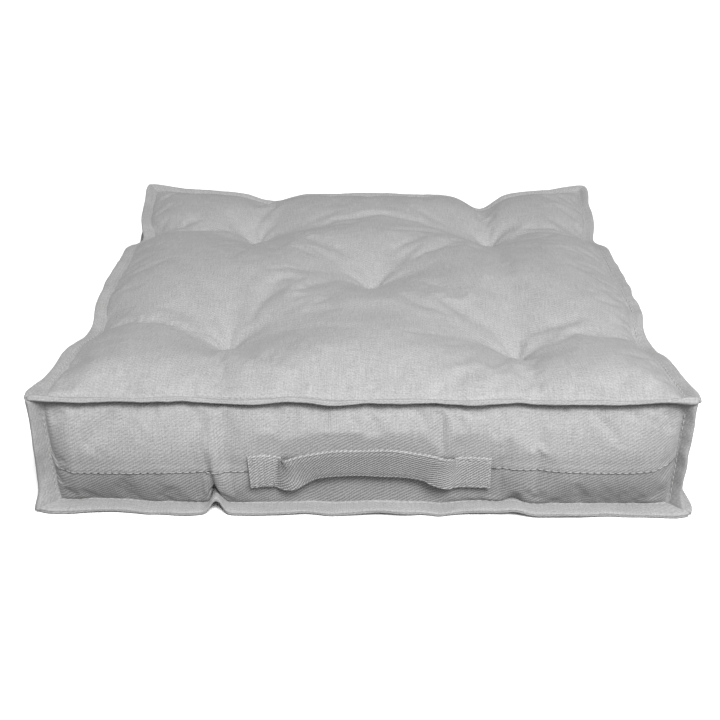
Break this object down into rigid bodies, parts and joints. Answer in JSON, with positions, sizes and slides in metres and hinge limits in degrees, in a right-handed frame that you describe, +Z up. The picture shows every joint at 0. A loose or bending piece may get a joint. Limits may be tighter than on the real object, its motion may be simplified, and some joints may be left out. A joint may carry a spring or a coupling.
{
  "type": "floor cushion",
  "caption": "Square tufted floor cushion with pinched seams all round, a mid seam and a cloth carry handle on one side.",
  "frame": {"origin": "middle of the cushion on the plane it rests on", "axes": "+X to the right of the handle side, +Y away from the handle side, +Z up"},
  "size_m": [0.618, 0.6238, 0.1334],
  "materials": {
    "cover_twill": "coarse slubby grey twill, cotton and linen look, matt",
    "sewing_thread": "matt spun polyester thread, a little lighter than the cloth",
    "tuft_twine": "waxed grey tufting twine",
    "polyester_fibre": "white carded polyester fibre, bonded"
  },
  "bodies": {
    "root": {"top_panel": "cover_twill", "bottom_panel": "cover_twill", "front_upper_band": "cover_twill", "front_lower_band": "cover_twill", "right_upper_band": "cover_twill", "right_lower_band": "cover_twill", "back_upper_band": "cover_twill", "back_lower_band": "cover_twill", "left_upper_band": "cover_twill", "left_lower_band": "cover_twill", "fibre_filling": "polyester_fibre", "tuft_twine_centre": "tuft_twine", "tuft_stitch_centre": "tuft_twine", "tuft_knot_centre": "tuft_twine", "tuft_twine_front_left": "tuft_twine", "tuft_stitch_front_left": "tuft_twine", "tuft_knot_front_left": "tuft_twine", "tuft_twine_front_right": "tuft_twine", "tuft_stitch_front_right": "tuft_twine", "tuft_knot_front_right": "tuft_twine", "tuft_twine_back_left": "tuft_twine", "tuft_stitch_back_left": "tuft_twine", "tuft_knot_back_left": "tuft_twine", "tuft_twine_back_right": "tuft_twine", "tuft_stitch_back_right": "tuft_twine", "tuft_knot_back_right": "tuft_twine", "front_top_stitching": "sewing_thread", "front_bottom_stitching": "sewing_thread", "front_seam_stitching": "sewing_thread", "front_corner_stitching": "sewing_thread", "right_top_stitching": "sewing_thread", "right_bottom_stitching": "sewing_thread", "right_seam_stitching": "sewing_thread", "right_corner_stitching": "sewing_thread", "back_top_stitching": "sewing_thread", "back_bottom_stitching": "sewing_thread", "back_seam_stitching": "sewing_thread", "back_corner_stitching": "sewing_thread", "left_top_stitching": "sewing_thread", "left_bottom_stitching": "sewing_thread", "left_seam_stitching": "sewing_thread", "left_corner_stitching": "sewing_thread", "handle_left_stitching": "sewing_thread", "handle_right_stitching": "sewing_thread", "handle_left_end": "cover_twill", "handle_right_end": "cover_twill"},
    "handle": {"handle_grip": "cover_twill"}
  },
  "joints": [
    {"name": "handle_swing", "type": "hinge", "parent": "root", "child": "handle", "pos_m": [0.007, -0.301, 0.043], "axis": [1, 0, 0], "range_deg": [-15, 60]}
  ]
}
